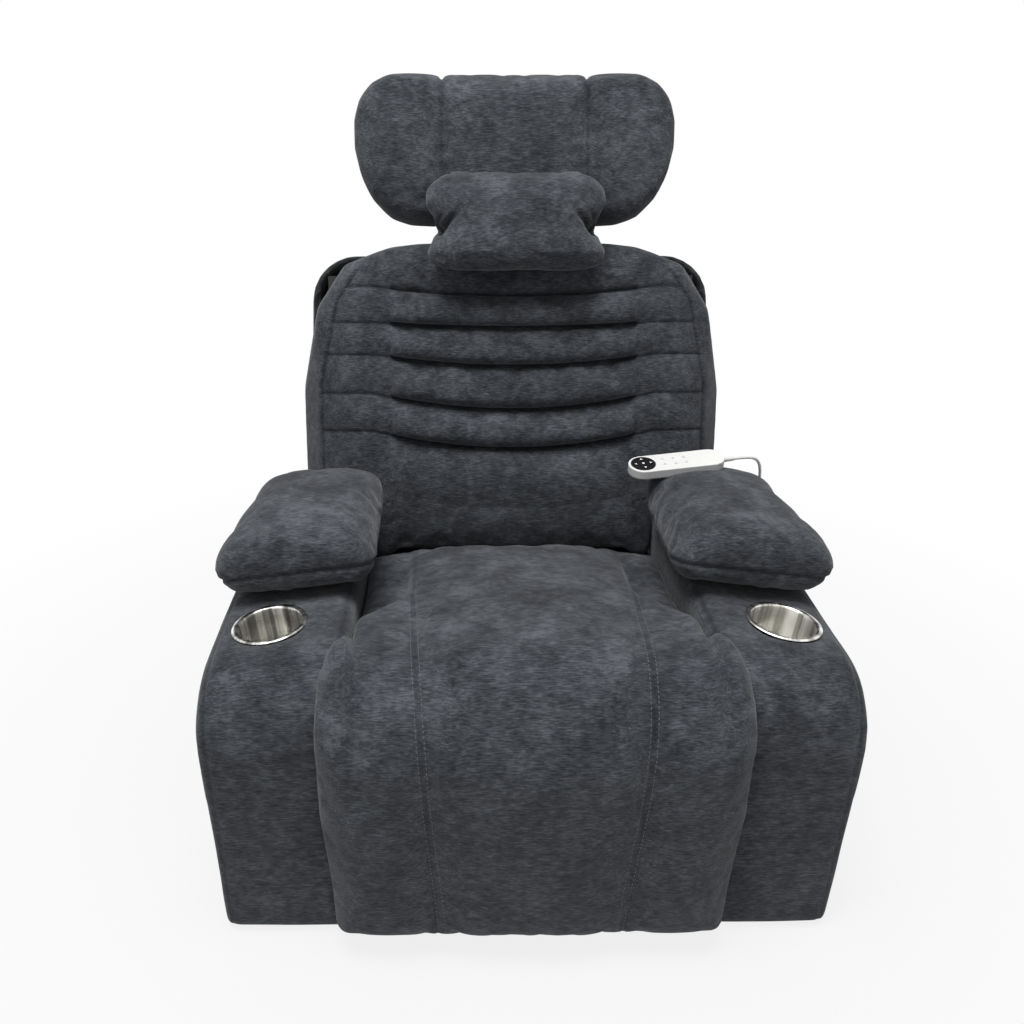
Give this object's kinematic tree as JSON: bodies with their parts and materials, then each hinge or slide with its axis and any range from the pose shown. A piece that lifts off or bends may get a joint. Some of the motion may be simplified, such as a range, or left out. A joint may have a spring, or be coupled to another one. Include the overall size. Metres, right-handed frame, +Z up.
{
  "type": "power recliner",
  "caption": "Power recliner with padded arms, cup holders, lifting chaise footrest, reclining channelled back, tilting headrest with neck pillow and a corded handset.",
  "frame": {"origin": "on the floor under the middle of the chair's bounding box, the cord left out", "axes": "+Z up, the sitter faces -Y, +X on the right of someone who looks at the chair's front"},
  "size_m": [0.9382, 0.8868, 1.1193],
  "materials": {
    "upholstery": "charcoal grey chenille with a short soft nap, matt",
    "outer_fabric": "plain dark grey woven cover, matt",
    "frame_board": "plain plywood",
    "frame_tube": "dark frame bars, light as hollow tube",
    "mechanism_steel": "black painted steel, satin",
    "bright_steel": "bright plated rod",
    "cup_steel": "spun stainless steel with a fine round grain",
    "actuator_housing": "dark painted cast housing",
    "black_plastic": "black moulded plastic",
    "webbing": "dark woven tape",
    "handset_white": "off-white moulded plastic, satin gloss",
    "dial_black": "black glossy disc",
    "key_white": "white moulded keys",
    "key_grey": "grey moulded keys",
    "circuit": "green circuit board",
    "cord_white": "white flexible lead"
  },
  "bodies": {
    "base": {"arm_bolts": "mechanism_steel", "chaise_bend": "upholstery", "control_box": "black_plastic", "cord_grommet": "black_plastic", "cross_tubes": "mechanism_steel", "floor_glides": "black_plastic", "footrest_actuator": "actuator_housing", "handset_circuit": "circuit", "handset_cord": "cord_white", "handset_dial": "dial_black", "handset_lower_shell": "handset_white", "handset_strain_relief": "cord_white", "handset_upper_shell": "handset_white", "left_arm_cover": "upholstery", "left_arm_frame": "frame_board", "left_arm_pad": "upholstery", "left_cup_holder": "cup_steel", "power_inlet": "black_plastic", "rear_panel": "outer_fabric", "recline_actuator": "actuator_housing", "right_arm_cover": "upholstery", "right_arm_frame": "frame_board", "right_arm_pad": "upholstery", "right_cup_holder": "cup_steel", "seat_cushion": "upholstery", "seat_frame": "frame_board", "seat_springs": "mechanism_steel", "side_plates": "mechanism_steel"},
    "backrest": {"back_frame": "frame_tube", "back_brackets": "mechanism_steel", "back_lever": "mechanism_steel", "back_webbing": "webbing", "outer_back": "outer_fabric", "back_cushion": "upholstery", "headrest_pin": "bright_steel", "headrest_actuator": "actuator_housing"},
    "headrest": {"headrest_frame": "mechanism_steel", "headrest_board": "frame_board", "headrest_back": "upholstery", "headrest_cushion": "upholstery", "neck_pillow": "upholstery", "pillow_strip": "webbing"},
    "footrest": {"footrest_frame": "mechanism_steel", "footrest_board": "frame_board", "footrest_pad": "upholstery"},
    "footrest_rod": {"footrest_rod": "bright_steel"},
    "recline_rod": {"recline_rod": "bright_steel"},
    "headrest_rod": {"headrest_rod": "bright_steel"},
    "dial_key_down": {"dial_key_down": "key_white"},
    "dial_key_left": {"dial_key_left": "key_white"},
    "dial_key_middle": {"dial_key_middle": "key_white"},
    "dial_key_right": {"dial_key_right": "key_white"},
    "dial_key_up": {"dial_key_up": "key_white"},
    "small_key_1": {"small_key_1": "key_grey"},
    "small_key_2": {"small_key_2": "key_grey"},
    "small_key_3": {"small_key_3": "key_grey"},
    "small_key_4": {"small_key_4": "key_grey"},
    "small_key_5": {"small_key_5": "key_grey"},
    "small_key_6": {"small_key_6": "key_grey"}
  },
  "joints": [
    {"name": "footrest_lift", "type": "hinge", "parent": "base", "child": "footrest", "pos_m": [0, -0.328, 0.315], "axis": [-1, 0, 0], "range_deg": [0, 85], "deforming": ["chaise_bend"]},
    {"name": "back_recline", "type": "hinge", "parent": "base", "child": "backrest", "pos_m": [0, 0.147, 0.33], "axis": [-1, 0, 0], "range_deg": [0, 45]},
    {"name": "headrest_tilt", "type": "hinge", "parent": "backrest", "child": "headrest", "pos_m": [0, 0.35913, 0.85013], "axis": [-1, 0, 0], "range_deg": [0, 30]},
    {"name": "footrest_drive", "type": "slide", "parent": "base", "child": "footrest_rod", "axis": [0, -1, 0], "range_m": [0, 0.1232]},
    {"name": "recline_drive", "type": "slide", "parent": "base", "child": "recline_rod", "axis": [0, -1, 0], "range_m": [0, 0.0729]},
    {"name": "headrest_drive", "type": "slide", "parent": "backrest", "child": "headrest_rod", "axis": [0, -0.2419, -0.9703], "range_m": [0, 0.0131]},
    {"name": "dial_key_down_press", "type": "slide", "parent": "base", "child": "dial_key_down", "axis": [0.0269, 0.1791, -0.9835], "range_m": [0, 0.001], "stiffness_N_per_m": 400, "springref_m": -0.0005},
    {"name": "dial_key_left_press", "type": "slide", "parent": "base", "child": "dial_key_left", "axis": [0.0269, 0.1791, -0.9835], "range_m": [0, 0.001], "stiffness_N_per_m": 400, "springref_m": -0.0005},
    {"name": "dial_key_middle_press", "type": "slide", "parent": "base", "child": "dial_key_middle", "axis": [0.0269, 0.1791, -0.9835], "range_m": [0, 0.001], "stiffness_N_per_m": 400, "springref_m": -0.0005},
    {"name": "dial_key_right_press", "type": "slide", "parent": "base", "child": "dial_key_right", "axis": [0.0269, 0.1791, -0.9835], "range_m": [0, 0.001], "stiffness_N_per_m": 400, "springref_m": -0.0005},
    {"name": "dial_key_up_press", "type": "slide", "parent": "base", "child": "dial_key_up", "axis": [0.0269, 0.1791, -0.9835], "range_m": [0, 0.001], "stiffness_N_per_m": 400, "springref_m": -0.0005},
    {"name": "small_key_1_press", "type": "slide", "parent": "base", "child": "small_key_1", "axis": [0.0269, 0.1791, -0.9835], "range_m": [0, 0.001], "stiffness_N_per_m": 400, "springref_m": -0.0005},
    {"name": "small_key_2_press", "type": "slide", "parent": "base", "child": "small_key_2", "axis": [0.0269, 0.1791, -0.9835], "range_m": [0, 0.001], "stiffness_N_per_m": 400, "springref_m": -0.0005},
    {"name": "small_key_3_press", "type": "slide", "parent": "base", "child": "small_key_3", "axis": [0.0269, 0.1791, -0.9835], "range_m": [0, 0.001], "stiffness_N_per_m": 400, "springref_m": -0.0005},
    {"name": "small_key_4_press", "type": "slide", "parent": "base", "child": "small_key_4", "axis": [0.0269, 0.1791, -0.9835], "range_m": [0, 0.001], "stiffness_N_per_m": 400, "springref_m": -0.0005},
    {"name": "small_key_5_press", "type": "slide", "parent": "base", "child": "small_key_5", "axis": [0.0269, 0.1791, -0.9835], "range_m": [0, 0.001], "stiffness_N_per_m": 400, "springref_m": -0.0005},
    {"name": "small_key_6_press", "type": "slide", "parent": "base", "child": "small_key_6", "axis": [0.0269, 0.1791, -0.9835], "range_m": [0, 0.001], "stiffness_N_per_m": 400, "springref_m": -0.0005}
  ],
  "couplings": [
    {"joint": "footrest_drive", "follows": "footrest_lift", "m_per_rad": 0.08291},
    {"joint": "recline_drive", "follows": "back_recline", "m_per_rad": 0.09257},
    {"joint": "headrest_drive", "follows": "headrest_tilt", "m_per_rad": 0.02471}
  ]
}
